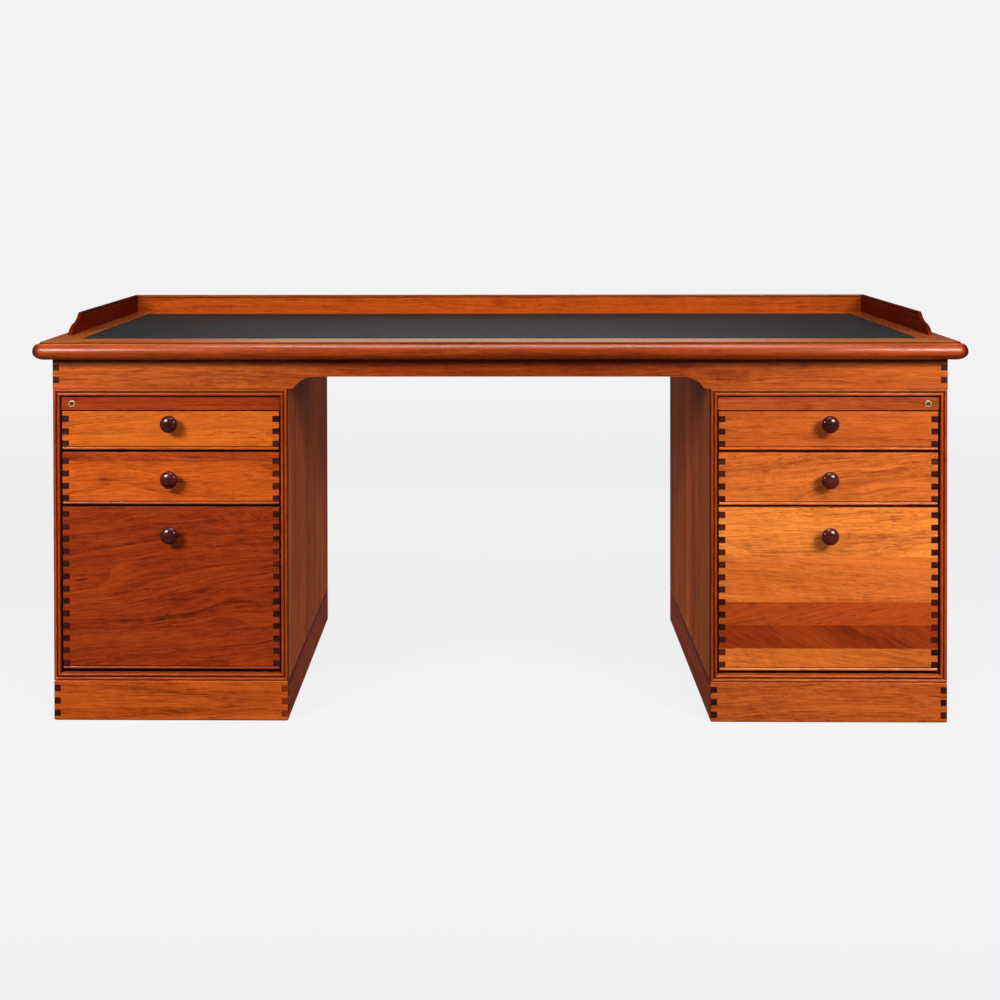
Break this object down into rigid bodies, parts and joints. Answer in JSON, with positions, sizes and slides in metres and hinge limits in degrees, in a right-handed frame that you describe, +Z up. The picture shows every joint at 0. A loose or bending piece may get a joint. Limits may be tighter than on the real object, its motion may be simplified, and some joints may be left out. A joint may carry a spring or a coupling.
{
  "type": "pedestal desk",
  "caption": "Wooden double-pedestal writing desk with a leather-lined top, a gallery rail on three sides, finger-jointed drawers and turned knobs.",
  "frame": {"origin": "on the floor under the centre of the top", "axes": "+X along the desk towards the sitter's right, +Y away from the sitter, +Z up"},
  "size_m": [1.816, 0.803, 0.7856],
  "materials": {
    "orange_hardwood": "satin lacquer",
    "plain_hardwood": "plain",
    "dark_hardwood": "gloss lacquer",
    "leather": "satin",
    "brass": "polished",
    "steel": "plain"
  },
  "bodies": {
    "desk": {"apron_back_rail": "orange_hardwood", "apron_blocks": "plain_hardwood", "apron_front_rail": "orange_hardwood", "apron_side_rails": "orange_hardwood", "fixing_bolts": "steel", "gallery_back_rail": "orange_hardwood", "gallery_left_rail": "orange_hardwood", "gallery_right_rail": "orange_hardwood", "leather_writing_surface": "leather", "left_drawer_runners": "plain_hardwood", "left_lock_rail": "orange_hardwood", "left_pedestal_back_panel": "orange_hardwood", "left_pedestal_bottom_panel": "plain_hardwood", "left_pedestal_inner_side": "orange_hardwood", "left_pedestal_mouldings": "orange_hardwood", "left_pedestal_outer_side": "orange_hardwood", "left_pedestal_top_panel": "plain_hardwood", "left_plinth_front_and_back": "orange_hardwood", "left_plinth_sides": "orange_hardwood", "lock_cases": "brass", "right_drawer_runners": "plain_hardwood", "right_lock_rail": "orange_hardwood", "right_pedestal_back_panel": "orange_hardwood", "right_pedestal_bottom_panel": "plain_hardwood", "right_pedestal_inner_side": "orange_hardwood", "right_pedestal_mouldings": "orange_hardwood", "right_pedestal_outer_side": "orange_hardwood", "right_pedestal_top_panel": "plain_hardwood", "right_plinth_front_and_back": "orange_hardwood", "right_plinth_sides": "orange_hardwood", "top_back_edge": "orange_hardwood", "top_core_panel": "plain_hardwood", "top_front_edge": "orange_hardwood", "top_side_edges": "orange_hardwood"},
    "left_top_drawer": {"left_top_drawer_bottom": "orange_hardwood", "left_top_drawer_box": "orange_hardwood", "left_top_drawer_front": "orange_hardwood", "left_top_drawer_knob": "dark_hardwood"},
    "left_middle_drawer": {"left_middle_drawer_bottom": "orange_hardwood", "left_middle_drawer_box": "orange_hardwood", "left_middle_drawer_front": "orange_hardwood", "left_middle_drawer_knob": "dark_hardwood"},
    "left_bottom_drawer": {"left_bottom_drawer_bottom": "orange_hardwood", "left_bottom_drawer_box": "orange_hardwood", "left_bottom_drawer_front": "orange_hardwood", "left_bottom_drawer_knob": "dark_hardwood"},
    "right_top_drawer": {"right_top_drawer_bottom": "orange_hardwood", "right_top_drawer_box": "orange_hardwood", "right_top_drawer_front": "orange_hardwood", "right_top_drawer_knob": "dark_hardwood"},
    "right_middle_drawer": {"right_middle_drawer_bottom": "orange_hardwood", "right_middle_drawer_box": "orange_hardwood", "right_middle_drawer_front": "orange_hardwood", "right_middle_drawer_knob": "dark_hardwood"},
    "right_bottom_drawer": {"right_bottom_drawer_bottom": "orange_hardwood", "right_bottom_drawer_box": "orange_hardwood", "right_bottom_drawer_front": "orange_hardwood", "right_bottom_drawer_knob": "dark_hardwood"},
    "left_lock": {"left_lock_barrel": "brass"},
    "right_lock": {"right_lock_barrel": "brass"}
  },
  "joints": [
    {"name": "left_top_drawer_slide", "type": "slide", "parent": "desk", "child": "left_top_drawer", "axis": [0, -1, 0], "range_m": [0, 0.43]},
    {"name": "left_middle_drawer_slide", "type": "slide", "parent": "desk", "child": "left_middle_drawer", "axis": [0, -1, 0], "range_m": [0, 0.43]},
    {"name": "left_bottom_drawer_slide", "type": "slide", "parent": "desk", "child": "left_bottom_drawer", "axis": [0, -1, 0], "range_m": [0, 0.43]},
    {"name": "right_top_drawer_slide", "type": "slide", "parent": "desk", "child": "right_top_drawer", "axis": [0, -1, 0], "range_m": [0, 0.43]},
    {"name": "right_middle_drawer_slide", "type": "slide", "parent": "desk", "child": "right_middle_drawer", "axis": [0, -1, 0], "range_m": [0, 0.43]},
    {"name": "right_bottom_drawer_slide", "type": "slide", "parent": "desk", "child": "right_bottom_drawer", "axis": [0, -1, 0], "range_m": [0, 0.43]},
    {"name": "left_lock_turn", "type": "hinge", "parent": "desk", "child": "left_lock", "pos_m": [-0.8365, -0.35, 0.6217], "axis": [0, 1, 0], "range_deg": [0, 90]},
    {"name": "right_lock_turn", "type": "hinge", "parent": "desk", "child": "right_lock", "pos_m": [0.8365, -0.35, 0.6217], "axis": [0, -1, 0], "range_deg": [0, 90]}
  ]
}
